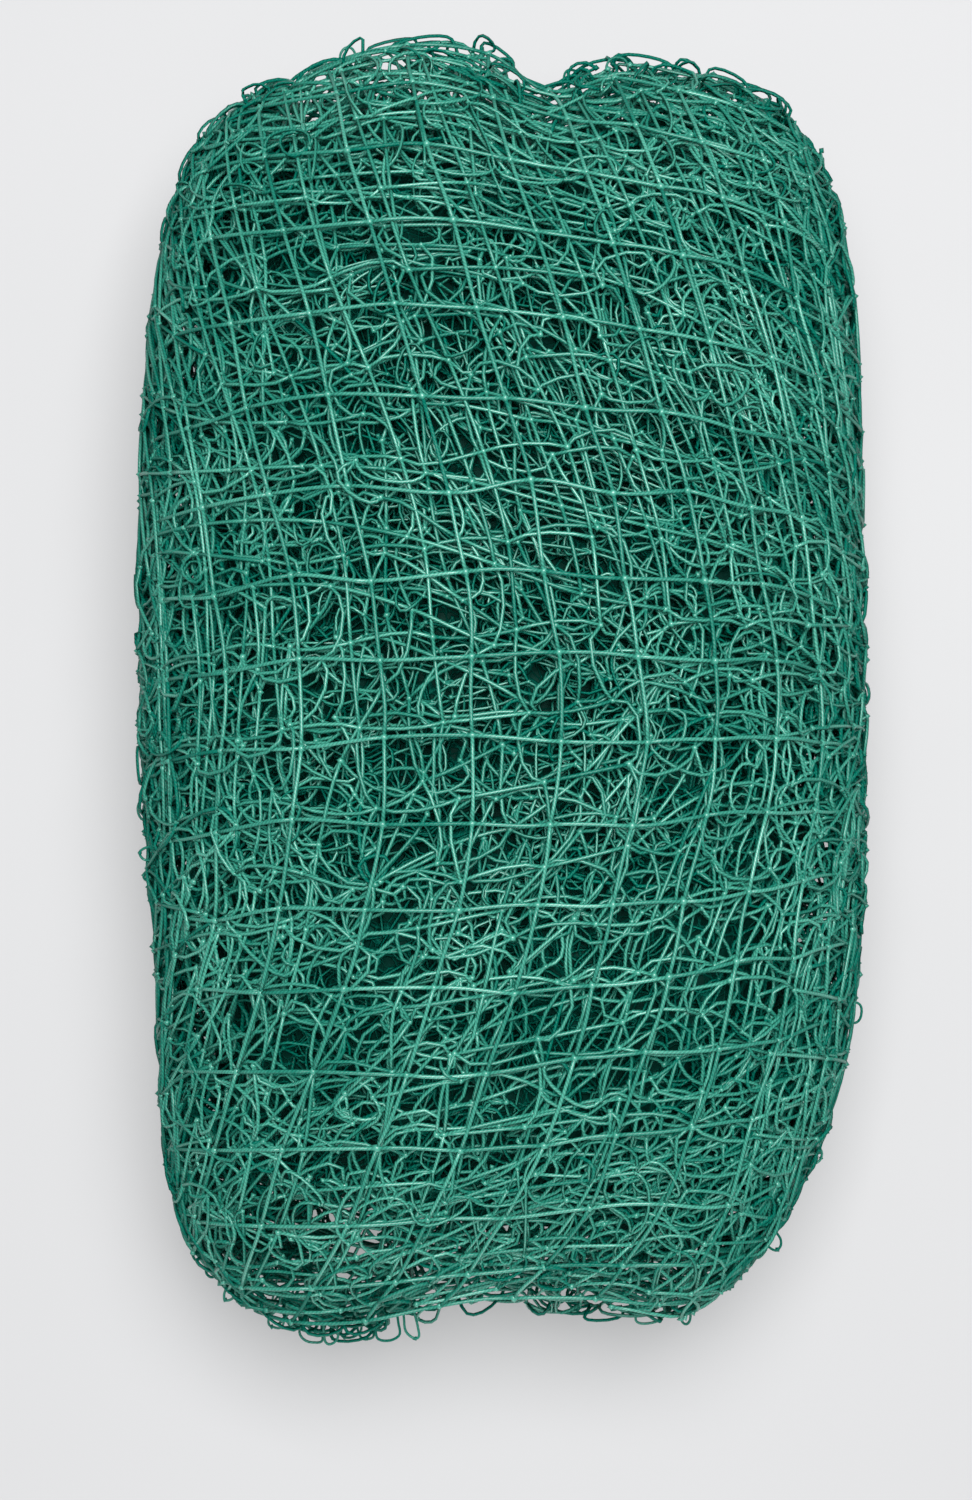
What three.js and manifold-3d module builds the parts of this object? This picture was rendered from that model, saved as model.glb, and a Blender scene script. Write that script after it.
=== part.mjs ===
// Cricket practice net, put away: one length of knotted square-mesh netting, folded back and forth
// into a soft bundle and wrapped in its own last turn.
// Millimetres, +Z up. +Y runs along the bundle, +X across it, and the origin is on the floor under its middle.
// The folded layers and the last turn are the same netting, so the whole net is one solid: the turn tucks
// back into the bottom layers along both long sides, and every mesh of it is cut right through.
import * as THREE from "three";
import { mergeVertices } from "three/addons/utils/BufferGeometryUtils.js";
import Module from "manifold-3d";

const wasm = await Module();
wasm.setup();

// Driving dimensions of the bundle
const bundleWidth = 420;
const bundleLength = 772;
const bundleHeight = 262; // of the even crest, before its mounds
const widestHeight = 105; // above the floor
const flatShare = 0.6; // of the outline that lies flat on the floor
const crownPower = 2.2; // roundness of the top, 2 is an ellipse
const sidePower = 2; // roundness below the widest line

// Netting
const meshPitch = 45; // knot to knot along a bar of the mesh
const twineDiameter = 1.8;
const knotRise = 1.1; // a knot's height above the twine
const knotWander = 3; // unevenness of the knots along the surface
const strandHalf = twineDiameter * Math.sqrt(Math.PI / 8); // a four-sided strand with the round twine's area

// The last turn, wrapped over the top and both sides: its twines are counted from the middle ones, and their
// distances are along the skin
const turnColumns = { first: -7, last: 9, middle: -13, leftPitch: 48.7, rightGather: 24 };
const turnRows = { first: -8, last: 7, middle: -3, pitch: 43.5, backStretch: 34, frontStretch: 10 };
const turnTuckShare = 0.86; // where it tucks under, of the section's half width
const turnLean = { side: 76, at: 300, middle: -28, power: 1.5 }; // of its lengthwise twines, towards the ends
const turnUpright = { back: 0.00085, backRight: 8, frontLeft: 6.5 }; // where they lean less
const turnDrop = { left: 10, rightGather: 0.13, rightMiddle: -10, frontMost: 150 }; // of its crosswise twines

// Folded layers inside the turn
const turnClearance = 6; // from the turn's twine to the layers
const tuckDepth = 6; // of the turn's tucked edges in the layers
const layerGap = 3;
const foldDepth = 0.1; // a fold's round end, as a share of its layer's length
const foldSteps = 4;
const slices = 14; // across the bundle
const sliceReach = THREE.MathUtils.degToRad(82); // the last slices, as an angle on the half width
const stepsAlong = 6; // of a layer's face inside the stack
const skinStepsAlong = 16; // of the stack's top and bottom
const crumple = { depth: 9, wavelength: 110 }; // dents in the top layer

// How far each layer's ends reach, as shares of the outline, from the floor up
const layers = [
  { front: 0.9, back: 0.91 },
  { front: 0.95, back: 0.94 },
  { front: 0.965, back: 0.975 },
  { front: 0.995, back: 0.98 },
  { front: 0.965, back: 0.995 },
  { front: 0.925, back: 0.93 },
];

// Squareness of the outline's four corners, 2 is an ellipse
const cornerPower = { frontLeft: 4.4, frontRight: 2.4, backLeft: 3.6, backRight: 5.4 };

// Hollows in the two ends between the lobes of gathered net
const endHollows = [
  { end: "front", across: 61, depth: 10, spread: 40 },
  { end: "front", across: -5, depth: 19, spread: 60 },
  { end: "back", across: 24, depth: 22, spread: 22 },
  { end: "back", across: 200, depth: 33, spread: 200 },
  { end: "back", across: -127, depth: 24, spread: 48 },
];

// Where the left side is drawn in
const leftHollow = { along: -184, depth: 9.3, spread: 103 };

// Soft rises and dips of the top
const mounds = [
  { across: 26, along: 345, rise: -24, spread: 62 },
  { across: 6, along: -345, rise: -12, spread: 58 },
  { across: -70, along: 255, rise: 6, spread: 110 },
  { across: 85, along: 60, rise: 7, spread: 130 },
  { across: -80, along: -150, rise: 5, spread: 120 },
];

const turnMeshesAcross = turnColumns.last - turnColumns.first;
const turnMeshesAlong = turnRows.last - turnRows.first;
const halfWidth = bundleWidth / 2 - strandHalf - knotRise;
const halfLength = bundleLength / 2;

const bell = (distance, spread) => Math.exp(-((distance / spread) ** 2));
const lerp = THREE.MathUtils.lerp;

// A repeatable number from -1 to 1 for a knot of the mesh
function wander(column, row, salt) {
  const wave = Math.sin(column * 127.1 + row * 311.7 + salt * 74.7) * 43758.5453;
  return 2 * (wave - Math.floor(wave)) - 1;
}

// Half length of the outline at a place across the bundle, towards one end
function endReach(x, end) {
  return endHollows
    .filter((hollow) => hollow.end === end)
    .reduce((reach, hollow) => reach - hollow.depth * bell(x - hollow.across, hollow.spread), halfLength);
}

// 0 in the middle of the outline and 1 on it: a rounded oblong, its corners of unlike powers, inset at its sides
function outlineShare(x, y, inset) {
  const drawn = x < 0 ? leftHollow.depth * bell(y - leftHollow.along, leftHollow.spread) : 0;
  const across = Math.abs(x) / (halfWidth - drawn - inset);
  const along = Math.abs(y) / endReach(x, y < 0 ? "front" : "back");
  const right = (THREE.MathUtils.clamp(x / halfWidth, -1, 1) + 1) / 2;
  const back = (THREE.MathUtils.clamp(y / halfLength, -1, 1) + 1) / 2;
  const power = lerp(
    lerp(cornerPower.frontLeft, cornerPower.frontRight, right),
    lerp(cornerPower.backLeft, cornerPower.backRight, right),
    back,
  );
  return (across ** power + along ** power) ** (1 / power);
}

// Height of the bundle's top above a place on the floor
function topHeight(x, y, inset) {
  const share = Math.min(outlineShare(x, y, inset), 1);
  const crown = (1 - share ** crownPower) ** (1 / crownPower);
  const rise = mounds.reduce(
    (sum, mound) => sum + mound.rise * bell(Math.hypot(x - mound.across, y - mound.along), mound.spread),
    0,
  );
  const crest = bundleHeight - strandHalf - knotRise - inset + rise;
  return widestHeight + (crest - widestHeight) * crown;
}

// Height of its underside: flat on the floor, then rising to the widest line
function undersideHeight(x, y, inset) {
  const share = Math.min(outlineShare(x, y, inset), 1);
  const rise = Math.max(0, (share - flatShare) / (1 - flatShare));
  return widestHeight * (1 - (1 - rise ** sidePower) ** (1 / sidePower));
}

// The largest distance from the middle at which a rising function is still under a limit
function farthest(rising, limit, most) {
  let low = 0;
  let high = most;
  for (let step = 0; step < 40; step += 1) {
    const middle = (low + high) / 2;
    if (rising(middle) < limit) low = middle;
    else high = middle;
  }
  return low;
}

// Points at given shares of a line's length
function pointsAlong(line, shares) {
  const lengths = [0];
  for (let i = 1; i < line.length; i += 1) {
    lengths.push(lengths[i - 1] + line[i].distanceTo(line[i - 1]));
  }
  return shares.map((share) => {
    const wanted = THREE.MathUtils.clamp(share, 0, 1) * lengths.at(-1);
    const next = Math.max(1, lengths.findIndex((length) => length >= wanted));
    const part = (wanted - lengths[next - 1]) / (lengths[next] - lengths[next - 1]);
    return line[next - 1].clone().lerp(line[next], part);
  });
}

const evenShares = (steps) => Array.from({ length: steps + 1 }, (_, i) => i / steps);

// A closed triangle mesh as a solid
function solidFrom(points, faces) {
  const geometry = new THREE.BufferGeometry();
  geometry.setAttribute("position", new THREE.Float32BufferAttribute(points.flatMap((p) => p.toArray()), 3));
  geometry.setIndex(faces.flat());
  const merged = mergeVertices(geometry);
  const vertProperties = merged.getAttribute("position").array;
  const triVerts = new Uint32Array(merged.getIndex().array);
  return new wasm.Manifold(new wasm.Mesh({ numProp: 3, vertProperties, triVerts }));
}

// A crosswise line of the skin: straight, and drawn in where an end has a hollow
function rowPlace(x, y) {
  const drawn = 1 - endReach(x, y < 0 ? "front" : "back") / halfLength;
  return y * (1 - drawn * (y / halfLength) ** 6);
}

// That line in two arms, from the crest down the left and the right side, each to where the turn tucks under
function rowArms(y) {
  const onSurface = (x, height) => new THREE.Vector3(x, rowPlace(x, y), height(x, rowPlace(x, y), 0));
  return [-1, 1].map((side) => {
    const reach = farthest((x) => outlineShare(side * x, rowPlace(side * x, y), 0), 1, halfWidth);
    const over = evenShares(80).map((share) => {
      const x = side * reach * Math.sin((share * Math.PI) / 2);
      return onSurface(x, topHeight);
    });
    const under = evenShares(40).map((share) => {
      const x = side * reach * lerp(turnTuckShare, 1, Math.cos((share * Math.PI) / 2));
      return onSurface(x, undersideHeight);
    });
    return [...over, ...under.slice(1)];
  });
}

const lineLength = (line) => line.slice(1).reduce((sum, point, i) => sum + point.distanceTo(line[i]), 0);

// The crest line in two arms, from the middle of the bundle to its front and to its back
function crestArms() {
  const end = 0.985 * halfLength;
  return [-1, 1].map((way) =>
    evenShares(200).map((share) => {
      const y = way * end * share;
      return new THREE.Vector3(0, y, topHeight(0, y, 0));
    }),
  );
}

// Distance of a lengthwise twine from the crest line, wider spaced on the left and gathered on the right
function columnDistance(column) {
  const { middle, leftPitch, rightGather } = turnColumns;
  if (column < 0) return middle + leftPitch * column;
  return middle + meshPitch * column - rightGather * (Math.min(column, 7) / 6) ** 2;
}

// Distance of a crosswise twine along the crest from the middle, wider spaced towards the ends
function rowDistance(row) {
  const even = turnRows.middle + turnRows.pitch * row;
  const front = THREE.MathUtils.clamp((-even - 200) / 110, 0, 1.2);
  return even + turnRows.backStretch * (Math.max(even, 0) / 258) ** 2 - turnRows.frontStretch * front ** 2;
}

// How far a lengthwise twine is drawn aside: more towards the ends, less so at the very back and right of it,
// and late in front of the middle on the left
function leanAside(across, along) {
  const { clamp } = THREE.MathUtils;
  const even = turnLean.side * (Math.abs(along - turnLean.middle) / turnLean.at) ** turnLean.power;
  const back = turnUpright.back * Math.max(0, along - 190) ** 2;
  const backRight = turnUpright.backRight * bell(across - 90, 80) * clamp((along - 140) / 100, 0, 1);
  const frontLeft = turnUpright.frontLeft * clamp((60 - across) / 120, -1, 1) * bell(along + 140, 60);
  return even - back - backRight - frontLeft;
}

// The place of a knot, by its distances across from the crest and along it: its lengthwise twine leans, its
// crosswise twine drops on the left and gathers on the right, and towards the long edges the meshes narrow
// or widen to meet the tuck
function knotPlace(across, along, crest) {
  const { clamp } = THREE.MathUtils;
  const edges = [turnColumns.first, turnColumns.last].map((column) => Math.abs(columnDistance(column)));
  const drop =
    turnDrop.left * clamp((-across - 100) / 180, 0, 1) +
    turnDrop.rightGather *
      Math.max(along - turnDrop.rightMiddle, -turnDrop.frontMost) *
      clamp((across - 55) / 160, 0, 1.3);
  const dropped = along - drop;
  const crestArm = crest[dropped < 0 ? 0 : 1];
  const [{ y }] = pointsAlong(crestArm, [Math.abs(dropped) / lineLength(crestArm)]);
  const fade = 1 - (Math.abs(across) / edges[across < 0 ? 0 : 1]) ** 3;
  const leant = across - leanAside(across, along) * fade;
  const side = leant < 0 ? 0 : 1;
  const arm = rowArms(y)[side];
  const tuck = lineLength(arm);
  const distance = Math.abs(leant) + (tuck - edges[side]) * (leant / edges[side]) ** 2;
  return pointsAlong(arm, [distance / tuck])[0];
}

// The knots of the last turn, row by row, a little uneven, its long edges sunk in the layers
function turnKnots() {
  const crest = crestArms();
  return Array.from({ length: turnMeshesAlong + 1 }, (_, row) =>
    Array.from({ length: turnMeshesAcross + 1 }, (_, column) => {
      const edge = column === 0 || column === turnMeshesAcross;
      const end = row === 0 || row === turnMeshesAlong;
      const aside = edge ? 0 : wander(column, row, 1) * knotWander;
      const across = columnDistance(turnColumns.first + column) + aside;
      const along = rowDistance(turnRows.first + row) + (end ? 0 : wander(column, row, 2) * knotWander);
      const knot = knotPlace(across, along, crest);
      const inward = new THREE.Vector3(0, 0.9 * knot.y, widestHeight).sub(knot).normalize();
      return edge ? knot.addScaledVector(inward, turnClearance + tuckDepth) : knot;
    }),
  );
}

// The last turn as a net: four-sided strands along the bars, fused at the knots, every mesh open
function lastTurn() {
  const knots = turnKnots();
  const points = [];
  const faces = [];
  const add = (point) => points.push(point) - 1;
  const knotAt = (row, column) => {
    const clampRow = THREE.MathUtils.clamp(row, 0, turnMeshesAlong);
    const clampColumn = THREE.MathUtils.clamp(column, 0, turnMeshesAcross);
    return knots[clampRow][clampColumn];
  };
  const ridges = knots.map((line, row) =>
    line.map((knot, column) => {
      const across = knotAt(row, column + 1).clone().sub(knotAt(row, column - 1));
      const along = knotAt(row + 1, column).clone().sub(knotAt(row - 1, column));
      const outward = across.cross(along).normalize();
      return {
        outer: add(knot.clone().addScaledVector(outward, strandHalf + knotRise)),
        inner: add(knot.clone().addScaledVector(outward, -strandHalf)),
      };
    }),
  );
  const quad = (a, b, c, d) => faces.push([a, b, c], [a, c, d]);

  for (let row = 0; row < turnMeshesAlong; row += 1) {
    for (let column = 0; column < turnMeshesAcross; column += 1) {
      const corners = [
        [row, column],
        [row, column + 1],
        [row + 1, column + 1],
        [row + 1, column],
      ];
      const rim = corners.map(([r, c], i) => {
        const here = knotAt(r, c);
        const next = knotAt(...corners[(i + 1) % 4]).clone().sub(here).normalize();
        const last = knotAt(...corners[(i + 3) % 4]).clone().sub(here).normalize();
        return add(here.clone().addScaledVector(next, strandHalf).addScaledVector(last, strandHalf));
      });
      corners.forEach(([r, c], i) => {
        const after = (i + 1) % 4;
        const [nextRow, nextColumn] = corners[after];
        const here = ridges[r][c];
        const there = ridges[nextRow][nextColumn];
        quad(here.outer, there.outer, rim[after], rim[i]);
        quad(there.inner, here.inner, rim[i], rim[after]);
      });
    }
  }

  // The cut side of the strands round the turn's four edges
  const close = (from, to) => quad(from.inner, to.inner, to.outer, from.outer);
  for (let column = 0; column < turnMeshesAcross; column += 1) {
    close(ridges[0][column], ridges[0][column + 1]);
    close(ridges[turnMeshesAlong][column + 1], ridges[turnMeshesAlong][column]);
  }
  for (let row = 0; row < turnMeshesAlong; row += 1) {
    close(ridges[row + 1][0], ridges[row][0]);
    close(ridges[row][turnMeshesAcross], ridges[row + 1][turnMeshesAcross]);
  }
  return solidFrom(points, faces);
}

// Where a layer's face runs: level counts faces from the floor up, along goes from -1, front, to 1, back
function layerPoint(x, level, along, gapSide) {
  const layer = layers[THREE.MathUtils.clamp(Math.floor(level + gapSide / 2), 0, layers.length - 1)];
  const sideShare = outlineShare(x, 0, turnClearance);
  const reach = (end) => {
    const sign = end === "front" ? -1 : 1;
    const limit = lerp(sideShare, 1, layer[end]);
    return sign * farthest((y) => outlineShare(x, sign * y, turnClearance), limit, halfLength);
  };
  const y = lerp(reach("front"), reach("back"), (along + 1) / 2);
  const low = undersideHeight(x, y, turnClearance);
  const dents =
    1 +
    Math.sin((2 * Math.PI * (x + 0.4 * y)) / crumple.wavelength) *
      Math.cos((2 * Math.PI * (y - 0.3 * x)) / (1.3 * crumple.wavelength));
  const whole = topHeight(x, y, turnClearance) - low;
  const dented = whole - Math.min((crumple.depth * dents) / 2, 0.2 * whole);
  const gap = gapSide * Math.min(layerGap / 2, (0.15 * whole) / layers.length);
  return new THREE.Vector3(x, y, low + (dented * level) / layers.length + gap);
}

// One slice of the folded layers: the back-and-forth outline, the same points in the same order in every slice
function foldOutline(x) {
  const inner = 1 - foldDepth;
  const count = layers.length;
  const run = (level, gapSide, from, to, steps) =>
    evenShares(steps).map((share) => layerPoint(x, level, lerp(from, to, share), gapSide));
  const roundEnd = (fromLevel, toLevel, end) =>
    evenShares(foldSteps).slice(1, -1).map((share) => {
      const turn = share * Math.PI;
      const level = lerp(fromLevel, toLevel, (1 - Math.cos(turn)) / 2);
      return layerPoint(x, level, end * (inner + foldDepth * Math.sin(turn)), 0);
    });
  const slot = (level, end) => [
    ...run(level, end, end * inner, -end * inner, stepsAlong),
    layerPoint(x, level, -end * (inner + foldDepth / 3), 0),
    ...run(level, -end, -end * inner, end * inner, stepsAlong),
  ];

  const outline = run(0, 0, inner, -inner, skinStepsAlong);
  for (let level = 2; level < count; level += 2) {
    outline.push(...roundEnd(level - 2, level, -1), ...slot(level, -1));
  }
  outline.push(...roundEnd(count - 2, count, -1), ...run(count, 0, -inner, inner, skinStepsAlong));
  outline.push(...roundEnd(count, count - 1, 1));
  for (let level = count - 1; level > 0; level -= 2) {
    outline.push(...slot(level, 1), ...roundEnd(level, Math.max(level - 2, 0), 1));
  }
  return outline;
}

// The folded layers: the outline of each slice joined to the next, with both sides closed
function foldedLayers() {
  const outlines = evenShares(slices).map((share) => {
    const x = (halfWidth - turnClearance) * Math.sin(lerp(-sliceReach, sliceReach, share));
    return foldOutline(x);
  });
  const size = outlines[0].length;
  const faces = [];
  for (let slice = 0; slice < slices; slice += 1) {
    for (let i = 0; i < size; i += 1) {
      const here = slice * size + i;
      const next = slice * size + ((i + 1) % size);
      faces.push([here, next + size, next], [here, here + size, next + size]);
    }
  }
  const sideFaces = (slice) =>
    THREE.ShapeUtils.triangulateShape(outlines[slice].map((p) => new THREE.Vector2(p.y, p.z)), []).map(
      (face) => face.map((i) => slice * size + i),
    );
  faces.push(...sideFaces(0).map(([a, b, c]) => [a, c, b]), ...sideFaces(slices));
  return solidFrom(outlines.flat(), faces);
}

// A solid as a shaded mesh, with the middle of its floor outline at the origin
function meshOf(solid, name, material) {
  const { min, max } = solid.boundingBox();
  const centred = solid.translate(-(min[0] + max[0]) / 2, -(min[1] + max[1]) / 2, 0);
  const { numProp, vertProperties, triVerts } = centred.getMesh();
  const geometry = new THREE.BufferGeometry();
  const interleaved = new THREE.InterleavedBuffer(vertProperties, numProp);
  geometry.setAttribute("position", new THREE.InterleavedBufferAttribute(interleaved, 3, 0));
  geometry.setIndex(new THREE.BufferAttribute(triVerts, 1));
  const shaded = geometry.toNonIndexed();
  shaded.computeVertexNormals();
  const mesh = new THREE.Mesh(shaded, material);
  mesh.name = name;
  return mesh;
}

const netting = new THREE.MeshStandardMaterial({ color: 0x1f8063, roughness: 0.55, metalness: 0 });

const practiceNet = new THREE.Group();
practiceNet.add(meshOf(foldedLayers().add(lastTurn()), "net_bundle", netting));

export default practiceNet;
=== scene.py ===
import math

import bpy
import numpy as np
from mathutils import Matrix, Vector


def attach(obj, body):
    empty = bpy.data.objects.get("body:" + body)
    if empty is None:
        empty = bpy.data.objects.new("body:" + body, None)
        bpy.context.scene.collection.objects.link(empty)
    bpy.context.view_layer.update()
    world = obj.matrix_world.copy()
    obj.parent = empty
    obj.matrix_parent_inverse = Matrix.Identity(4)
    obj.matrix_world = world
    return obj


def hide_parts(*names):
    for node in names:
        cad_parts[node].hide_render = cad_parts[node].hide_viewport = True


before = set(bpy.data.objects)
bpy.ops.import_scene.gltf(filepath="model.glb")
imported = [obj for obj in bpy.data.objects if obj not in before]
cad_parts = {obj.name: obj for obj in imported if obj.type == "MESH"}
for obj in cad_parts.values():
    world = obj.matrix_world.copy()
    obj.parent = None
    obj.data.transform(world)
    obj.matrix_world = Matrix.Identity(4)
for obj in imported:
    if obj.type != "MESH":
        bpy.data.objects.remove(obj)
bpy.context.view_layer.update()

# the bundle's form in metres, with the sizes of its solid less the twine
bundle = dict(
    width=0.4155, length=0.772, crest=0.260, widest=0.105,
    flatShare=0.6, crownPower=2.2, sidePower=2.0,
    frontLeft=4.4, frontRight=2.4, backLeft=3.6, backRight=5.4,  # squareness of the corners
    frontHollows=[(0.061, 0.010, 0.040), (-0.005, 0.019, 0.060)],  # across, depth, spread
    backHollows=[(0.024, 0.022, 0.022), (0.200, 0.033, 0.200), (-0.127, 0.024, 0.048)],
    leftHollow=(-0.184, 0.0093, 0.103),  # along, depth, spread
    mounds=[  # across, along, rise, spread
        (0.026, 0.345, -0.024, 0.062), (0.006, -0.345, -0.012, 0.058), (-0.070, 0.255, 0.006, 0.110),
        (0.085, 0.060, 0.007, 0.130), (-0.080, -0.150, 0.005, 0.120),
    ],
)
twine = dict(pitch=0.045, radius=0.00092, lay=0.0046)


# exp(-(distance / spread)^2): 1 in the middle, fading to 0 on both sides
def bell(distance, spread):
    return np.exp(-((distance / spread) ** 2))


# a bell about its own middle
def bellAt(value, middle, spread):
    return bell(value - middle, spread)


# 0 up to the start, then rising evenly by 1 over each run, up to the most
def ramp(value, start, run, most=1):
    return np.clip((value - start) / run, 0, most)


# vectors divided by their own lengths
def unit(vectors):
    return vectors / np.maximum(np.linalg.norm(vectors, axis=-1, keepdims=True), 1e-12)


# half the bundle's length, less a bell-shaped hollow for each dip of the end that y is on
def endReach(x, y):
    def oneEnd(hollows):
        return bundle["length"] / 2 - sum(depth * bell(x - across, spread) for across, depth, spread in hollows)
    return np.where(y < 0, oneEnd(bundle["frontHollows"]), oneEnd(bundle["backHollows"]))


# superellipse (|x/a|^n + |y/b|^n)^(1/n): 0 in the middle, 1 on the outline, n blended from the corners
def outlineShare(x, y):
    right = (np.clip(2 * x / bundle["width"], -1, 1) + 1) / 2
    back = (np.clip(2 * y / bundle["length"], -1, 1) + 1) / 2
    front = bundle["frontLeft"] + (bundle["frontRight"] - bundle["frontLeft"]) * right
    rear = bundle["backLeft"] + (bundle["backRight"] - bundle["backLeft"]) * right
    power = front + (rear - front) * back
    along, depth, spread = bundle["leftHollow"]
    half = bundle["width"] / 2 - np.where(x < 0, depth * bell(y - along, spread), 0)
    return ((np.abs(x) / half) ** power + (np.abs(y) / endReach(x, y)) ** power) ** (1 / power)


# widest + (crest - widest) * (1 - share^p)^(1/p), with soft mounds on the crest
def topHeight(x, y):
    share = np.minimum(outlineShare(x, y), 1)
    rise = sum(r * bell(np.hypot(x - across, y - along), spread) for across, along, r, spread in bundle["mounds"])
    crown = (1 - share ** bundle["crownPower"]) ** (1 / bundle["crownPower"])
    return bundle["widest"] + (bundle["crest"] + rise - bundle["widest"]) * crown


# flat on the floor, then rising as a quarter of a superellipse to the widest line
def undersideHeight(x, y):
    share = np.minimum(outlineShare(x, y), 1)
    rise = np.maximum(0, (share - bundle["flatShare"]) / (1 - bundle["flatShare"]))
    return bundle["widest"] * (1 - (1 - rise ** bundle["sidePower"]) ** (1 / bundle["sidePower"]))


# largest distance at which a rising function of whole arrays stays under its limit, by halving
def farthest(rising, limit, most, rounds=24):
    low, high = np.zeros_like(limit), np.full_like(limit, most)
    for step in range(rounds):
        middle = (low + high) / 2
        under = rising(middle) < limit
        low, high = np.where(under, middle, low), np.where(under, high, middle)
    return low


# each row of points placed again at even steps of its own length
def evenlySpaced(lines, count):
    steps = np.linalg.norm(np.diff(lines, axis=1), axis=2)
    run = np.concatenate([np.zeros((len(lines), 1)), np.cumsum(steps, axis=1)], axis=1)
    share = run / run[:, -1:]
    rows = np.arange(len(lines))[:, None]
    known = (rows * 2 + share).ravel()  # one rising scale for all rows, so one call serves them all
    wanted = (rows * 2 + np.linspace(0, 1, count)[None, :]).ravel()
    placed = [np.interp(wanted, known, lines[..., k].ravel()) for k in range(3)]
    return np.stack(placed, 1).reshape(len(lines), count, 3)


# grid of places with outward directions, from the two directions in which the grid runs
def surfaceFrom(place):
    outward = unit(np.cross(np.gradient(place, axis=1), np.gradient(place, axis=0)))
    size = [np.linalg.norm(np.diff(place, axis=k), axis=2).sum(axis=k).max() for k in (1, 0)]
    return dict(place=place, outward=outward, size=size)


# the sections that make the skin, how near they come to the ends, and how late a row is drawn in
sections = dict(rows=161, columns=361, end=0.985, crestSteps=800, underSteps=90, overSteps=260, drawnLate=6)


# a crosswise line of the net is nearly straight, and drawn in as (y / half)^n where an end has a hollow
def rowPlace(x, y):
    half = bundle["length"] / 2
    return y * (1 - (1 - endReach(x, y) / half) * (y / half) ** sections["drawnLate"])


# the bundle's skin: sections from under the middle, up the left side, over the top and back under,
# in steps of a sine below and of a cosine above, then evened out
def wrapSurface():
    rows, columns, underSteps = sections["rows"], sections["columns"], sections["underSteps"]
    half = bundle["length"] / 2
    along = np.linspace(-sections["end"] * half, sections["end"] * half, sections["crestSteps"])
    line = np.stack([0 * along, along, topHeight(0 * along, along)], 1)[None]
    line = evenlySpaced(line, rows)[0]
    y = line[:, 1]
    left, right = (
        farthest(lambda x: outlineShare(side * x, rowPlace(side * x, y)), np.ones_like(y), bundle["width"] / 2)
        for side in (-1, 1)
    )
    quarter = np.sin(np.linspace(0, np.pi / 2, underSteps))
    whole = (1 - np.cos(np.linspace(0, np.pi, sections["overSteps"]))) / 2
    under = [-left[:, None] * quarter, right[:, None] * quarter[::-1]]
    over = -left[:, None] + (left + right)[:, None] * whole
    x = np.concatenate([under[0], over[:, 1:-1], under[1]], axis=1)
    place = rowPlace(x, y[:, None])
    top = np.zeros(x.shape, bool)
    top[:, underSteps:-underSteps] = True
    z = np.where(top, topHeight(x, place), undersideHeight(x, place))
    made = surfaceFrom(evenlySpaced(np.stack([x, place, z], 2), columns))
    long = np.linalg.norm(np.diff(line, axis=0), axis=1).sum()
    fromSide = columns // 4
    onLeft = made["place"][:, fromSide:-fromSide, 0] < 0
    last = fromSide - 1 + onLeft.sum(1)  # the last point left of the middle
    before, after = (made["place"][np.arange(rows), last + k, 0] for k in (0, 1))
    girth = np.linalg.norm(np.diff(made["place"], axis=1), axis=2).sum(1)
    crest = (last + before / (before - after)) / (columns - 1)
    return dict(made, girth=girth, crest=crest, long=long, front=np.interp(0, y, np.linspace(0, long, rows)))


# the folded ends, with reaches as shares of the outline
folds = dict(
    front=[0.88, 0.955, 0.94, 0.985, 0.955, 0.93, 0.9],  # reach at each level of the stack, from below
    back=[0.9, 0.92, 0.975, 0.96, 0.985, 0.93, 0.9],
    frontUnder=[(-0.12, 0.09, 0.11), (0.10, 0.09, 0.07)],  # across, spread, share
    backUnder=[(-0.045, 0.07, 0.11), (0.075, 0.05, 0.08)],
    underTo=2.7, underRun=1.2,  # the lower folds, which end further in under some lobes
    slot=0.07, slotPower=0.6,  # dips between the noses
    tuck=0.2, skin=0.3,  # share of a run that lies along the top or under skin, and how far in it goes
    levels=6, columns=121, rows=161, wide=0.985, turn=1.35,
)


# an end of the folded stack: from the top skin, over the noses of the folds as |sin| or |cos| of the level,
# to the under skin, with columns closer together at the sides as sin
def endSurface(end):
    sign, swing = (-1, np.sin) if end == "front" else (1, np.cos)
    levels, tuck, turn = folds["levels"], folds["tuck"], folds["turn"]
    angle = np.linspace(-1, 1, folds["columns"]) * turn
    x = bundle["width"] / 2 * folds["wide"] * np.sin(angle) / math.sin(turn)
    run = np.linspace(0, 1, folds["rows"])[:, None]
    level = np.clip((1 - tuck - run) / (1 - 2 * tuck), 0, 1) * levels  # the most on the top skin, 0 under the stack
    nose = np.abs(swing(np.pi * level / 2))
    dips = folds["slot"] * (1 - nose ** folds["slotPower"]) * np.clip(np.minimum(level, levels - level), 0, 1)
    reach = np.interp(level, range(levels + 1), folds[end]) - dips
    shorter = sum(amount * bell(x - across, spread) for across, spread, amount in folds[end + "Under"])
    reach = reach - shorter[None] * np.clip((folds["underTo"] - level) / folds["underRun"], 0, 1)
    inward = np.maximum(np.maximum(tuck - run, run - (1 - tuck)), 0) / tuck  # along the top or under skin
    sideShare = outlineShare(x, 0 * x)[None]
    limit = sideShare + (1 - sideShare) * reach
    out = farthest(lambda v: outlineShare(x[None], sign * v), limit, bundle["length"] / 2)
    y = sign * out * (1 - folds["skin"] * inward)
    xs = np.broadcast_to(x[None], y.shape)
    low, high = undersideHeight(xs, y), topHeight(xs, y)
    place = np.stack([xs, y, low + (high - low) * level / levels], 2)
    return surfaceFrom(place[:, ::-1] if end == "front" else place)


skin = wrapSurface()
ends = {end: endSurface(end) for end in ("front", "back")}
print("surfaces worked out, girth and length", [round(v, 3) for v in skin["size"]])


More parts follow.
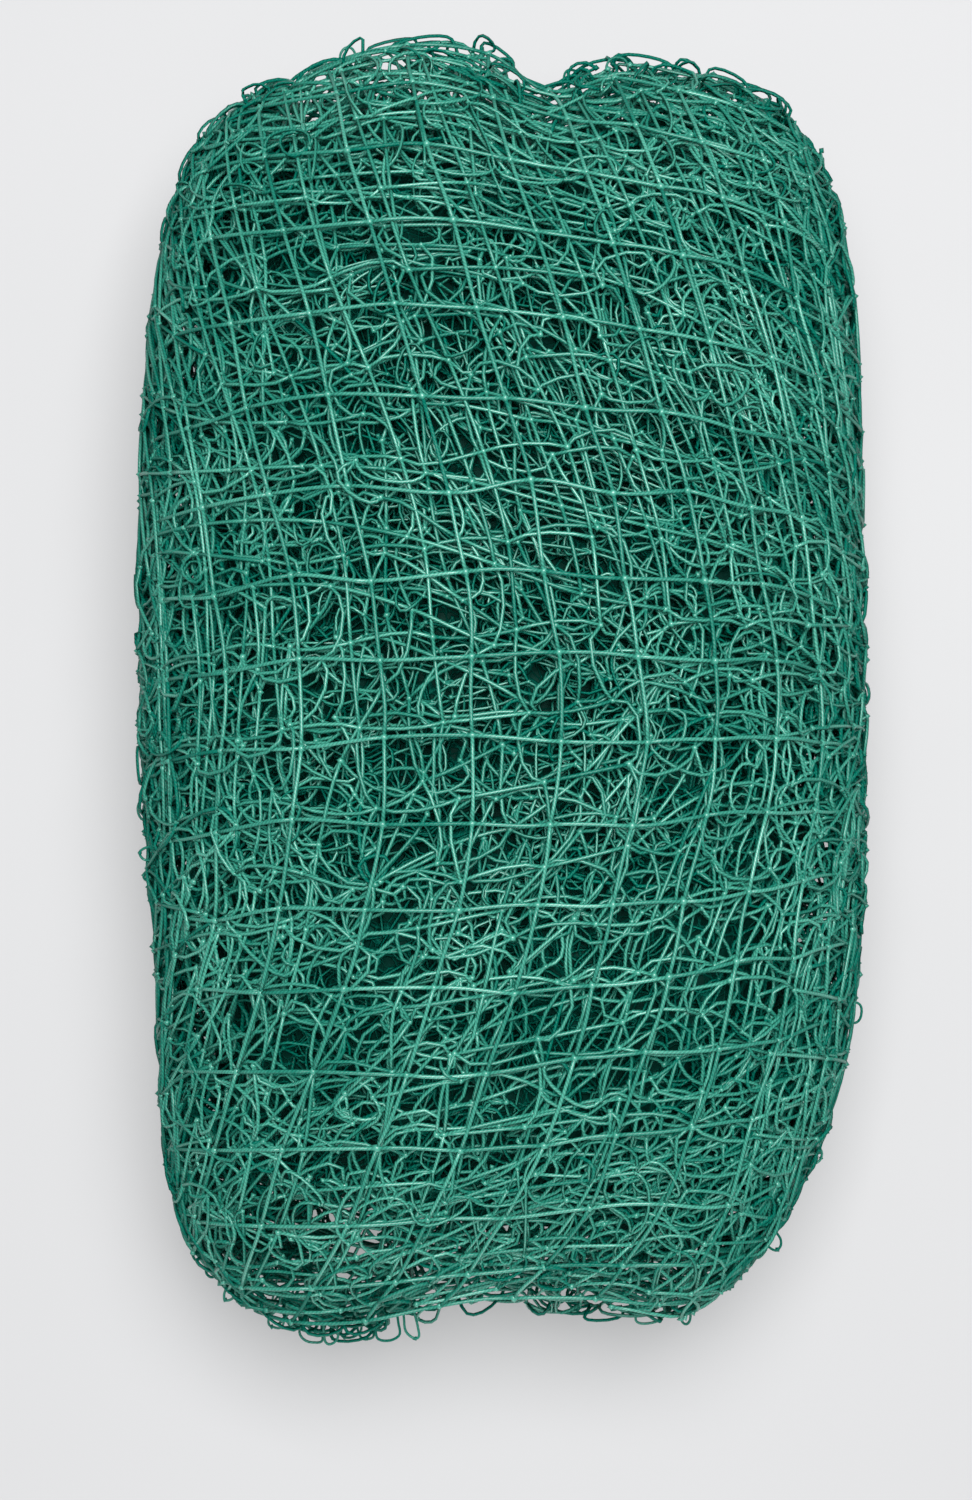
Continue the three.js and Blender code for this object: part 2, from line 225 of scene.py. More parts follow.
# places on a surface at shares across and along it, sunk by a depth: the four grid points round each, by nearness
def onSurface(surface, across, along, depth):
    rows, columns = surface["place"].shape[:2]
    a = np.clip(across, 0, 1) * (columns - 1)
    b = np.clip(along, 0, 1) * (rows - 1)
    i, j = np.minimum(a.astype(int), columns - 2), np.minimum(b.astype(int), rows - 2)
    p, q = (a - i)[..., None], (b - j)[..., None]
    def blend(grid):
        lower = grid[j, i] * (1 - p) + grid[j, i + 1] * p
        return lower * (1 - q) + (grid[j + 1, i] * (1 - p) + grid[j + 1, i + 1] * p) * q
    outward = unit(blend(surface["outward"]))
    return blend(surface["place"]) - depth[..., None] * outward, outward


# sum of sines in random directions, over the root of their number: about -1 to 1
def broadWaves(a, b, rng, lengths, count=8):
    turn, phase = rng.uniform(0, 2 * np.pi, (2, count))
    rate = 2 * np.pi / rng.uniform(*lengths, count)
    waves = (np.sin(k * (a * np.cos(t) + b * np.sin(t)) + f) for t, k, f in zip(turn, rate, phase))
    return sum(waves) / math.sqrt(count)


# knots drawn together, a share of the excess at a time, until no bar between neighbours is longer than its twine
def drawnIn(a, b, rounds=26, share=0.45):
    for step in range(rounds):
        for first, last in ((np.s_[:-1], np.s_[1:]), (np.s_[:, :-1], np.s_[:, 1:])):
            da, db = a[last] - a[first], b[last] - b[first]
            pull = share * np.maximum(0, 1 - twine["pitch"] / np.maximum(np.hypot(da, db), 1e-9))
            a[first] += pull * da
            a[last] -= pull * da
            b[first] += pull * db
            b[last] -= pull * db
    return a, b


# how the net's lines are drawn aside on the bundle; a bell has its middle and spread, a ramp its start, run and most
drift = dict(
    lean=0.076, middle=-0.028, leanAt=0.3, leanPower=1.5,
    uprightBack=0.85, backFrom=0.19,
    uprightRight=0.008, rightBell=(0.09, 0.08), rightRamp=(0.14, 0.1),
    uprightFront=0.0065, frontBell=(-0.14, 0.06), frontTurn=(0.06, 0.12),
    backStretch=0.034, stretchAt=0.258, frontStretch=0.010, stretchRamp=(0.2, 0.11, 1.2),
    leftDrop=0.010, leftRamp=(0.10, 0.18),
    rightGather=0.13, gatherRamp=(0.055, 0.16, 1.3), rightMiddle=-0.010, frontMost=0.15,
)


# metres across and along the net to shares of the skin: columns lean as |b - middle|^1.5, less at the very back
# and late in front on the left, rows open towards the ends, drop on the left and gather on the right
def netPlace(a, b):
    b = (b + drift["backStretch"] * (np.maximum(b, 0) / drift["stretchAt"]) ** 2
         - drift["frontStretch"] * ramp(-b, *drift["stretchRamp"]) ** 2)
    fade = np.maximum(0, 1 - (2 * a / skin["size"][0]) ** 4)
    lean = drift["lean"] * (np.abs(b - drift["middle"]) / drift["leanAt"]) ** drift["leanPower"]
    lean = lean - drift["uprightBack"] * np.maximum(0, b - drift["backFrom"]) ** 2
    lean = lean - drift["uprightRight"] * bellAt(a, *drift["rightBell"]) * ramp(b, *drift["rightRamp"])
    turnAt, turnRun = drift["frontTurn"]
    late = np.clip((turnAt - a) / turnRun, -1, 1) * bellAt(b, *drift["frontBell"])
    lean = (lean - drift["uprightFront"] * late) * fade
    left, right = ramp(-a, *drift["leftRamp"]), ramp(a, *drift["gatherRamp"])
    gathered = right * np.maximum(b - drift["rightMiddle"], -drift["frontMost"])
    v = (skin["front"] + b - (drift["leftDrop"] * left + drift["rightGather"] * gathered)) / skin["long"]
    known = np.linspace(0, 1, len(skin["girth"]))
    return np.interp(v, known, skin["crest"]) + (a - lean) / np.interp(v, known, skin["girth"]), v


# the last turn of the net, taut over the bundle: columns and rows counted from its middle mesh
outerTurn = dict(
    columns=(-11, 13), rows=(-9, 8), first=(-0.013, -0.003), rowPitch=0.0435, leftPitch=0.0487,
    rightGather=0.024, gatherAt=6, gatherMost=7, wander=0.0017, wanderIn=0.3,
    bulge=0.0065, sunkIn=0.0028, shown=0.004, endEdge=0.004, sideEdge=0.002,
    twine=dict(sides=6, lift=(-0.3, 0.5), radius=0.00110, knot=0.0026, rings=(5, 5)),
)
crowded = dict(at=0.26, spread=0.08, shallower=0.8)


# 1 halfway down the sides, where the layers crowd together and bulge between the last turn's rows, as a bell
def crowding(u):
    return bellAt(np.abs(u - 0.5), crowded["at"], crowded["spread"])


# what all layers share: how far a grid reaches, how much curlier and slacker the net is in front,
# and where patches of combs lie, more often crosswise on the sides and fewer in front
layerRules = dict(
    reach=0.62, frontRun=0.25, frontLeast=-0.4, strayFront=0.4, smallFront=0.9, gatherAlong=0.7,
    sideWaves=(0.06, 0.18), patchWaves=(0.12, 0.40), patchMore=0.3, patchSides=8, patchFrom=0.15, patchTo=0.12,
    patchEdge=-0.1, smallIn=0.4, openLeast=0.6, openBell=(0.37, 0.09), openBack=0.6, bow=0.45,
)
# where the folded ends are open: in places, more so further in and at the lobes
endGaps = dict(
    seed=5, waves=(0.03, 0.08), inward=110, rare=1.3,
    frontLobes=[(0.3, 0.25, 0.15), (0.7, 0.83, 0.13), (-0.5, 0.55, 0.13)],  # amount, across, spread
    frontBell=(0.36, 0.17), backLobes=0.1, backMiddle=0.52, backBell=(0.16, 0.1),
)


# a threshold for the knots of an end: a line of its depth, raised by a bell for each lobe
def endOpening(surface, layer, u, v):
    if surface is ends["front"]:
        lobes = sum(amount * bellAt(u, across, spread) for amount, across, spread in endGaps["frontLobes"])
        lobes = lobes * bellAt(v, *endGaps["frontBell"])
    else:
        lobes = endGaps["backLobes"] * bellAt(np.abs(u - endGaps["backMiddle"]), *endGaps["backBell"])
    return layer["depth"] * endGaps["inward"] - endGaps["rare"] + lobes


# one layer of net: a square grid of knots, squeezed, turned, pushed about by broad waves and laid on a surface
def netLayer(surface, layer, rng):
    rules, onSkin = layerRules, surface is skin
    wide, long = surface["size"]
    stepA, stepB = (twine["pitch"] / squeeze for squeeze in layer["squeeze"])
    reach = rules["reach"] * math.hypot(wide, long)
    i, j = np.meshgrid(np.arange(-int(reach / stepA), int(reach / stepA) + 1),
                       np.arange(-int(reach / stepB), int(reach / stepB) + 1))
    turn = math.radians(layer["turn"])
    a = i * stepA * math.cos(turn) - j * stepB * math.sin(turn) + layer["shift"][0]
    b = i * stepA * math.sin(turn) + j * stepB * math.cos(turn) + layer["shift"][1]
    front = np.clip(-b / rules["frontRun"], rules["frontLeast"], 1) if onSkin else np.zeros(a.shape)
    push = [layer["stray"] * (1 + rules["strayFront"] * front) * broadWaves(a, b, rng, layer["waves"])
            - layer["gather"] * np.maximum(front, 0) * way for way in (a, rules["gatherAlong"] * b)]
    depth = layer["depth"] + layer["relief"] * broadWaves(a, b, rng, layer["waves"])
    small = layer["small"] * (1 + rules["smallFront"] * front) * rng.normal(0, 1, (3,) + a.shape)
    a, b = drawnIn(a + push[0] + small[0], b + push[1] + small[1])
    side = broadWaves(a, b, rng, rules["sideWaves"])
    u, v = netPlace(a, b) if onSkin else (a / wide + 0.5, b / long + 0.5)
    low, high = layer["across"], layer["along"]
    inside = (u > low[0]) & (u < low[1]) & (v > high[0]) & (v < high[1])
    if layer["patch"]:
        seed, sign = layer["patch"]
        field = broadWaves(a, b, np.random.default_rng(seed), rules["patchWaves"]) + rules["patchMore"]
        field = field + rules["patchSides"] * np.clip(np.abs(u - 0.5) - rules["patchFrom"], 0, rules["patchTo"])
        inside &= sign * field > np.maximum(front, 0) + rules["patchEdge"]
    # the depth before crowding is kept for the painted shade
    shown, shallow = depth, layer["shallow"]
    if onSkin:
        sides = crowding(u)
        phase = (b - outerTurn["first"][1]) / outerTurn["rowPitch"]
        bulge = outerTurn["bulge"] * sides * np.sin(np.pi * phase) ** 2
        depth = depth * (1 - crowded["shallower"] * sides) - bulge
        shallow = shallow - outerTurn["bulge"]
        fewer = rules["openLeast"] + (1 - rules["openLeast"]) * bellAt(u, *rules["openBell"])
        inside &= (v > layer["open"] * fewer) & (v < 1 - rules["openBack"] * layer["open"])
    else:
        rare = broadWaves(a, b, np.random.default_rng(endGaps["seed"]), endGaps["waves"])
        inside &= rare > endOpening(surface, layer, u, v)
    depth = np.maximum(depth + rules["smallIn"] * small[2], shallow)
    place, outward = onSurface(surface, u, v, depth)
    net = gridBars(heldIn(place, layer["loose"]), inside, np.logical_and)
    return dict(net, outward=outward.reshape(-1, 3), knots=np.flatnonzero(inside), depth=shown.ravel(),
                side=side.ravel(), loose=layer["loose"], arch=layer["arch"], bow=rules["bow"])


# the bars of a grid of knots, with the direction in which the twine runs through each knot
def gridBars(place, inside, rule):
    number = np.arange(inside.size).reshape(inside.shape)
    bars, lead = [], []
    for axis, one, two in ((1, np.s_[:, :-1], np.s_[:, 1:]), (0, np.s_[:-1], np.s_[1:])):
        kept = rule(inside[one], inside[two])
        bars.append(np.stack([number[one][kept], number[two][kept]], 1))
        through = unit(np.gradient(place, axis=axis))
        lead.append(np.stack([through[one][kept], through[two][kept]], 1))
    return dict(place=place.reshape(-1, 3), bars=np.concatenate(bars), lead=np.concatenate(lead))


# how close the twine keeps to the form: shares of the outline, and metres above and below it
hold = dict(endRamp=(0.8, 0.12), room=0.020, knee=0.986, endKnee=0.006, rim=0.018, rimRamp=(0.93, 0.06),
            above=0.0012, below=0.001, endSlack=0.003, clear=1.2)


# points that stick out of the bundle's form are brought back to it, more the further out they are:
# k + r (1 - exp(-e/r)) for an excess e over a knee k, with room r
def heldIn(paths, loose):
    x, y = paths[..., 0], paths[..., 1]
    share = outlineShare(x, y)
    nearEnd = ramp(np.abs(y) / endReach(x, y), *hold["endRamp"])
    room = hold["room"] + loose * nearEnd
    knee = hold["knee"] - hold["endKnee"] * nearEnd
    held = knee + room * (1 - np.exp(-np.maximum(share - knee, 0) / room))
    back = np.where(share > knee, held / np.maximum(share, 1e-6), 1)
    x, y = x * back, y * back
    rim = 1 - hold["rim"] * ramp(share, *hold["rimRamp"])  # at the widest line they keep their own heights
    top = topHeight(rim * x, rim * y) + hold["above"]
    under = undersideHeight(rim * x, rim * y) - hold["below"]
    slack = hold["endSlack"] * nearEnd
    z = np.clip(paths[..., 2], np.maximum(under - slack, hold["clear"] * twine["radius"]), top + slack)
    return np.stack([x, y, z], -1)


# how a slack bar runs: its pull at a knot from its span and its twine, its skew, and how it arches
slackBar = dict(spanPull=0.7, twinePull=0.3, pullMost=1.5, skew=0.3, flatter=0.6, flatRamp=(0, 0.2), contrary=0.15)


# a bar runs on through its knots as a cubic of their directions, and takes up its length by arching aside
# as A (sin pi t + s sin 2 pi t) and bellying out along its chord as -A b sin 2 pi t, with A found by halving
def slackPaths(net, chosen, rng, steps, lift):
    one, two = net["bars"][chosen].T
    start, end = net["place"][one], net["place"][two]
    chord = end - start
    outward = unit(net["outward"][one] + net["outward"][two])
    span = np.linalg.norm(chord, axis=1)
    t = np.linspace(0, 1, steps + 1)
    twinePull = slackBar["twinePull"] * np.minimum(twine["pitch"], slackBar["pullMost"] * span)
    lead = net["lead"][chosen] * (slackBar["spanPull"] * span + twinePull)[:, None, None]
    near, far = (1 + 2 * t) * (1 - t) ** 2, t ** 2 * (3 - 2 * t)
    base = (near[:, None] * start[:, None] + far[:, None] * end[:, None]
            + (t * (1 - t) ** 2)[:, None] * lead[:, :1] - (t ** 2 * (1 - t))[:, None] * lead[:, 1:])
    skew = rng.uniform(-slackBar["skew"], slackBar["skew"], len(span))[:, None]
    shape = np.sin(np.pi * t)[None] + skew * np.sin(2 * np.pi * t)[None]
    tilt = rng.normal(lift[0], lift[1], len(span))
    tilt = tilt * (1 - slackBar["flatter"] * ramp(-start[:, 1], *slackBar["flatRamp"]))  # arches lie flat in front
    other = rng.random(len(span)) < slackBar["contrary"]
    hand = np.where((net["side"][one] > 0) ^ other, 1, -1)  # neighbours mostly arch alike
    aside = unit(np.cross(outward, chord)) * hand[:, None]
    way = aside * np.cos(tilt)[:, None] + outward * np.sin(tilt)[:, None]
    bow = -net["bow"] * unit(chord)[:, None] * np.sin(2 * np.pi * t)[:, None]
    def path(size):
        return base + way[:, None] * (size[:, None] * shape)[..., None] + size[:, None, None] * bow
    def length(size):
        return np.linalg.norm(np.diff(path(size), axis=1), axis=2).sum(1)
    size = farthest(length, np.full(len(span), twine["pitch"]), net["arch"] * twine["pitch"])
    return heldIn(path(size), net["loose"]), outward


# a section of a few sides carried along each path, as r (cos, sin) in the plane across it,
# with a map of metres along and turns round for the lay of the twine
def twineTubes(paths, outward, radius, sides, rng):
    tangent = unit(np.gradient(paths, axis=1))
    hint = outward[:, None] - (outward[:, None] * tangent).sum(2, keepdims=True) * tangent
    short = np.linalg.norm(hint, axis=2, keepdims=True) < 0.05
    normal = unit(np.where(short, np.cross(tangent, [0.3, 0.2, 0.9]), hint))  # any direction does for a steep bar
    side = np.cross(tangent, normal)
    steps = np.linalg.norm(np.diff(paths, axis=1), axis=2)
    run = np.concatenate([np.zeros((len(paths), 1)), np.cumsum(steps, axis=1)], axis=1)
    begin = rng.uniform(0, 1, (len(paths), 1))
    angle = np.arange(sides) * 2 * np.pi / sides
    circle = np.cos(angle)[:, None] * normal[:, :, None] + np.sin(angle)[:, None] * side[:, :, None]
    ring = paths[:, :, None] + radius * circle
    count, rings = ring.shape[:2]
    index = np.arange(count * rings * sides).reshape(count, rings, sides)
    after = np.roll(index, -1, axis=2)
    walls = np.stack([index[:, :-1], after[:, :-1], after[:, 1:], index[:, 1:]], 3).reshape(-1, 4)
    caps = np.concatenate([index[:, 0, ::-1], index[:, -1]])
    u = np.broadcast_to((run / twine["lay"] + begin)[..., None], ring.shape[:3])
    lengthwise = np.stack([u[:, :-1], u[:, :-1], u[:, 1:], u[:, 1:]], 3).reshape(-1, 4)
    v = np.broadcast_to(np.arange(sides) / sides, (count, rings - 1, sides))
    around = np.stack([v, v + 1 / sides, v + 1 / sides, v], 3).reshape(-1, 4)
    # each bar's own tone at random, to which painted shade is added later
    toneAndShade = np.repeat(rng.normal(0, 1, count), rings * sides)
    return ring.reshape(-1, 3), walls, caps, np.stack([lengthwise, around], 2).reshape(-1, 2), toneAndShade


knotForm = dict(uneven=(0.85, 1.25), stretch=(1.15, 1.0, 0.95), lowest=0.0002)


# a knot as a lump of six corners, at plus and minus each axis, in a random turn on the surface
def knotLumps(net, radius, rng):
    place, outward = net["place"][net["knots"]], net["outward"][net["knots"]]
    turn = unit(np.cross(outward, rng.normal(0, 1, place.shape)))
    axes = np.stack([turn, np.cross(outward, turn), outward], 1)
    uneven = rng.uniform(*knotForm["uneven"], (len(place), 3, 1))
    sizes = radius * uneven * np.array(knotForm["stretch"])[None, :, None]
    corners = np.concatenate([place[:, None] + axes * sizes, place[:, None] - axes * sizes], 1)
    corners[..., 2] = np.maximum(corners[..., 2], knotForm["lowest"])
    base = (6 * np.arange(len(place)))[:, None, None]
    octant = np.array([[0, 1, 2], [1, 3, 2], [3, 4, 2], [4, 0, 2], [1, 0, 5], [3, 1, 5], [4, 3, 5], [0, 4, 5]])
    return corners.reshape(-1, 3), (base + octant[None]).reshape(-1, 3)


# a mesh from whole arrays: points, faces of one or more corner counts, twist map, and tone that carries painted shade
def makePiece(name, points, faceSets, material, maps=None, toneAndShade=None):
    mesh = bpy.data.meshes.new(name)
    corners = np.concatenate([faces.ravel() for faces in faceSets]).astype(np.int32)
    counts = np.concatenate([np.full(len(faces), faces.shape[1]) for faces in faceSets])
    mesh.vertices.add(len(points))
    mesh.vertices.foreach_set("co", points.astype(np.float32).ravel())
    mesh.loops.add(len(corners))
    mesh.loops.foreach_set("vertex_index", corners)
    mesh.polygons.add(len(counts))
    mesh.polygons.foreach_set("loop_start", np.concatenate([[0], np.cumsum(counts)[:-1]]).astype(np.int32))
    mesh.polygons.foreach_set("use_smooth", np.ones(len(counts), bool))
    if maps is not None:
        layer = mesh.uv_layers.new(name="laidTwine")
        layer.uv.foreach_set("vector", maps.astype(np.float32).ravel())
    if toneAndShade is not None:
        mesh.attributes.new("toneAndShade", "FLOAT", "POINT").data.foreach_set("value", toneAndShade.astype(np.float32))
    mesh.update(calc_edges=True)
    mesh.materials.append(material)
    piece = bpy.data.objects.new(name, mesh)
    bpy.context.collection.objects.link(piece)
    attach(piece, "root")
    print(f"{name}: {int((counts - 2).sum())} triangles")
    return piece


# shader values as Python expressions
class Field:
    def __init__(self, finish, socket):
        self.finish, self.socket = finish, socket

    def maths(self, operation, one, two=None):
        values = {0: one} if two is None else {0: one, 1: two}
        return self.finish.node("ShaderNodeMath", dict(operation=operation), values)

    def __add__(self, other): return self.maths("ADD", self, other)
    def __radd__(self, other): return self.maths("ADD", other, self)
    def __sub__(self, other): return self.maths("SUBTRACT", self, other)
    def __rsub__(self, other): return self.maths("SUBTRACT", other, self)
    def __mul__(self, other): return self.maths("MULTIPLY", self, other)
    def __rmul__(self, other): return self.maths("MULTIPLY", other, self)
    def sine(self): return self.maths("SINE", self)
    def clamped(self): return self.maths("MINIMUM", self.maths("MAXIMUM", self, 0.0), 1.0)


# a material and the nodes that make it
class Finish:
    def __init__(self, name):
        self.material = bpy.data.materials.new(name)
        self.material.use_nodes = True
        self.tree = self.material.node_tree
        self.shader = self.tree.nodes["Principled BSDF"]

    # any node: its type, its settings, its sockets' values or links, and the output that is wanted
    def node(self, kind, settings, values, output=0):
        made = self.tree.nodes.new(kind)
        for key, value in settings.items():
            setattr(made, key, value)
        self.feed(made, values)
        return Field(self, made.outputs[output])

    def feed(self, made, values):
        for key, value in values.items():
            if isinstance(value, Field):
                self.tree.links.new(value.socket, made.inputs[key])
            else:
                made.inputs[key].default_value = value

    def mixed(self, share, one, two):
        return self.node("ShaderNodeMix", dict(data_type="RGBA"), {0: share, 6: one, 7: two}, 2)

    def surface(self, values):
        self.feed(self.shader, values)
        return self.material


netGreen = dict(
    shade=(0.000, 0.080, 0.056, 1), body=(0.000, 0.140, 0.097, 1), bright=(0.060, 0.375, 0.270, 1),
    roughness=0.38, groove=0.5, specular=0.12, gloss=0.9, coatRoughness=0.34, coatIor=1.75,
    plies=2, broadScale=16.0, fineScale=420.0, bump=0.6, bumpDepth=0.0004,
)


# laid twine: plies that wind along the map as sin, with painted shade in the grooves, each bar a little lighter or
# darker
def twineFinish(name, look):
    finish = Finish(name)
    u = finish.node("ShaderNodeUVMap", dict(uv_map="laidTwine"), {})
    along = finish.node("ShaderNodeSeparateXYZ", {}, {0: u})
    around = Field(finish, along.socket.node.outputs[1])
    ply = ((along * look["plies"] + around * look["plies"]) * (2 * math.pi)).sine() * 0.5 + 0.5
    where = finish.node("ShaderNodeTexCoord", {}, {}, 3)
    broad = finish.node("ShaderNodeTexNoise", {}, {"Vector": where, "Scale": look["broadScale"], "Detail": 2.0})
    fine = finish.node("ShaderNodeTexNoise", {}, {"Vector": where, "Scale": look["fineScale"], "Detail": 2.0})
    toneAndShade = finish.node("ShaderNodeAttribute", dict(attribute_name="toneAndShade"), {}, 2)
    # painted light: the tone with its painted shade, and broad and fine noise for the twine's own uneven tone, mixes
    # the colour from body to its lit bright, and sets the coat
    light = (broad * 0.9 + toneAndShade * 0.2 + fine * 0.5 - 0.2).clamped()
    colour = finish.mixed(light, look["body"], look["bright"])
    colour = finish.mixed((1 - ply) * look["groove"], colour, look["shade"])
    height = ply * 0.8 + fine * 0.2
    relief = {"Strength": look["bump"], "Distance": look["bumpDepth"], "Height": height}
    bump = finish.node("ShaderNodeBump", {}, relief)
    return finish.surface({"Base Color": colour, "Roughness": fine * 0.2 + (look["roughness"] - 0.1), "Normal": bump,
                           "Specular IOR Level": look["specular"], "Coat Weight": light * look["gloss"],
                           "Coat Roughness": look["coatRoughness"], "Coat IOR": look["coatIor"]})


packedLook = dict(
    gap=(0.000, 0.040, 0.028, 1), deep=(0.000, 0.150, 0.104, 1), specular=0.1, bump=0.8, bumpDepth=0.002, narrow=20,
    cell=46.0, strands=[(1.0, 0.3, 1.0), (1.7, 1.1, 0.8), (2.6, 2.2, 0.6)],  # scale, lean, strength
)


# the layers deep in the bundle: dark, with painted shade in the gaps between crossing rims of cells, 1 - n * distance,
# that read as twine further down
def packedFinish(name, look):
    finish = Finish(name)
    where = finish.node("ShaderNodeTexCoord", {}, {}, 3)
    strands = []
    for scale, lean, strength in look["strands"]:
        turned = finish.node("ShaderNodeMapping", {}, {"Vector": where, "Rotation": (lean, 0.7 * lean, lean)})
        cells = {"Vector": turned, "Scale": look["cell"] * scale}
        rim = finish.node("ShaderNodeTexVoronoi", dict(feature="DISTANCE_TO_EDGE"), cells)
        strands.append((1 - rim * look["narrow"]).clamped() * strength)
    rims = (strands[0] + strands[1] + strands[2]).clamped()
    # painted shade: the gaps between the painted strands are near black
    colour = finish.mixed(rims, look["gap"], look["deep"])
    relief = {"Strength": look["bump"], "Distance": look["bumpDepth"], "Height": rims}
    bump = finish.node("ShaderNodeBump", {}, relief)
    return finish.surface({"Base Color": colour, "Roughness": rims * 0.1 + 0.6, "Normal": bump,
                           "Specular IOR Level": look["specular"]})


twineGreen = twineFinish("green laid twine", netGreen)
packedGreen = packedFinish("packed netting", packedLook)
print("finishes made")

# the camera, above the bundle and a little towards its front
shot = dict(aim=(-0.0088, -0.0416, 0.105), far=1.56, elevation=86.5, tall=0.869)


# angle of view 2 atan(half the height seen / distance), placed at the aim plus the distance along the elevation
def placeCamera():
    data = bpy.data.cameras.new("photo camera")
    data.sensor_fit = "VERTICAL"
    data.angle = 2 * math.atan(shot["tall"] / 2 / shot["far"])
    camera = bpy.data.objects.new("photo camera", data)
    bpy.context.collection.objects.link(camera)
    lean = math.radians(shot["elevation"])
    away = Vector((0, -math.cos(lean), math.sin(lean)))
    camera.location = Vector(shot["aim"]) + shot["far"] * away
    camera.rotation_euler = (math.pi / 2 - lean, 0, 0)
    bpy.context.scene.camera = camera


placeCamera()
print("camera placed")


# the knots of the last turn at its own distances across and along, less a square for the gather on the right
def outerNet(rng):
    (left, right), (front, back) = outerTurn["columns"], outerTurn["rows"]
    i, j = np.meshgrid(np.arange(left, right + 1), np.arange(front, back + 1))
    wander = outerTurn["wander"] * rng.normal(0, 1, (3,) + i.shape)
    gathered = outerTurn["rightGather"] * (np.clip(i, 0, outerTurn["gatherMost"]) / outerTurn["gatherAt"]) ** 2
    a = np.where(i < 0, outerTurn["leftPitch"], twine["pitch"]) * i - gathered
    b = outerTurn["first"][1] + j * outerTurn["rowPitch"]
    u, v = netPlace(a + outerTurn["first"][0] + wander[0], b + wander[1])
    endEdge, sideEdge = outerTurn["endEdge"], outerTurn["sideEdge"]
    inside = (v > endEdge) & (v < 1 - endEdge) & (u > sideEdge) & (u < 1 - sideEdge)
    depth = np.abs(outerTurn["wanderIn"] * wander[2]) + outerTurn["sunkIn"] * crowding(u)
    place, outward = onSurface(skin, u, np.clip(v, endEdge, 1 - endEdge), depth)
    net = gridBars(heldIn(place, 0.0), inside, np.logical_or)  # a bar that runs past an edge of the skin ends there
    # the whole last turn gets the painted shade of one depth, shown
    return dict(net, outward=outward.reshape(-1, 3), knots=np.flatnonzero(inside),
                depth=np.full(u.size, outerTurn["shown"]), side=rng.normal(0, 1, u.size), loose=0.0, arch=0.02, bow=0.0)


# painted shade on the twine: its tone on top, and how far it darkens with each metre in, deep down, on the sides and
# where a bar folds away, with a painted highlight on knots near the top, and the share of its twine from which a bar
# counts as straight
sunk = dict(top=0.75, fade=115.0, deep=2.4, deepRamp=(0.012, 0.014), sides=4.2, sidePower=3, folded=2.2, foldedAt=2,
            knots=1.9, knotFade=0.008, straight=0.88)


# bars and knots of some nets joined into one piece, with fewer rings on bars that are nearly straight;
# tone is top - fade d - deep ramp(d) - sides (1 - nz)^3 for depth d and upward share nz, all painted shade
def netPiece(name, nets, look, rng):
    points, walls, caps, lumps, maps, shadedTones = [], [], [], [], [], []
    start = 0
    for net in nets:
        span = np.linalg.norm(net["place"][net["bars"][:, 0]] - net["place"][net["bars"][:, 1]], axis=1)
        taut = span > sunk["straight"] * twine["pitch"]
        # painted shade: darker the deeper a bar lies, more so deep down, on steep sides away from the light overhead,
        # and where a bar folds away
        shown = (sunk["top"] - sunk["fade"] * net["depth"] - sunk["deep"] * ramp(net["depth"], *sunk["deepRamp"])
                 - sunk["sides"] * (1 - np.maximum(net["outward"][:, 2], 0)) ** sunk["sidePower"])
        folded = sunk["folded"] * np.clip(1 - sunk["foldedAt"] * span / twine["pitch"], 0, 1)
        for chosen, steps in zip((taut, ~taut), look["rings"]):
            paths, outward = slackPaths(net, chosen, rng, steps, look["lift"])
            ring, wall, cap, twist, toneAndShade = twineTubes(paths, outward, look["radius"], look["sides"], rng)
            points.append(ring)
            walls.append(wall + start)
            caps.append(cap + start)
            maps.append(twist)
            own = shown[net["bars"][chosen]].mean(1) - folded[chosen]
            shadedTones.append(toneAndShade + np.repeat(own, len(toneAndShade) // max(len(paths), 1)))
            start += len(ring)
        corners, lump = knotLumps(net, look["knot"], rng)
        points.append(corners)
        lumps.append(lump + start)
        # painted highlight: knots near the top made lighter
        lighter = sunk["knots"] * bell(net["depth"], sunk["knotFade"])
        shadedTones.append(np.repeat((shown + lighter)[net["knots"]], 6))
        start += len(corners)
    faces = [np.concatenate(walls), np.concatenate(caps), np.concatenate(lumps)]
    maps.append(np.zeros((faces[1].size + faces[2].size, 2)))
    return makePiece(name, np.concatenate(points), faces, twineGreen, np.concatenate(maps), np.concatenate(shadedTones))


rng = np.random.default_rng(41)
netPiece("outer_turn", [outerNet(rng)], outerTurn["twine"], rng)


# the nets of some layers, from rows of depth, relief, turn in degrees, squeeze across, squeeze along, stray and patch,
# each shifted by its number times a step, within one mesh
def netsFrom(surface, layers, rng):
    nets = []
    for k, row in enumerate(layers["rows"], 1):
        shift = [step * k % twine["pitch"] for step in (0.013, 0.019)]
        own = dict(depth=row[0], relief=row[1], turn=row[2], squeeze=row[3:5], stray=row[5], shift=shift)
        nets.append(netLayer(surface, dict(layers, **own, patch=row[6] if len(row) > 6 else None), rng))
    return nets


# layers just under the last turn, still nearly square
tautLayers = dict(
    waves=(0.14, 0.45), small=0.0012, shallow=0.0018, across=(0.01, 0.99), along=(0.012, 0.988),
    loose=0.0, arch=0.3, open=0.05, gather=0.10,
    twine=dict(sides=4, lift=(-0.3, 0.4), radius=0.00108, knot=0.0021, rings=(4, 5)),
    rows=[
        (0.0026, 0.0006, 3.0, 1.02, 1.05, 0.013),
        (0.0038, 0.0012, -8.0, 1.10, 1.20, 0.026),
        (0.0052, 0.0018, 11.0, 1.18, 1.32, 0.032),
    ],
)
netPiece("taut_layers", netsFrom(skin, tautLayers, rng), tautLayers["twine"], rng)

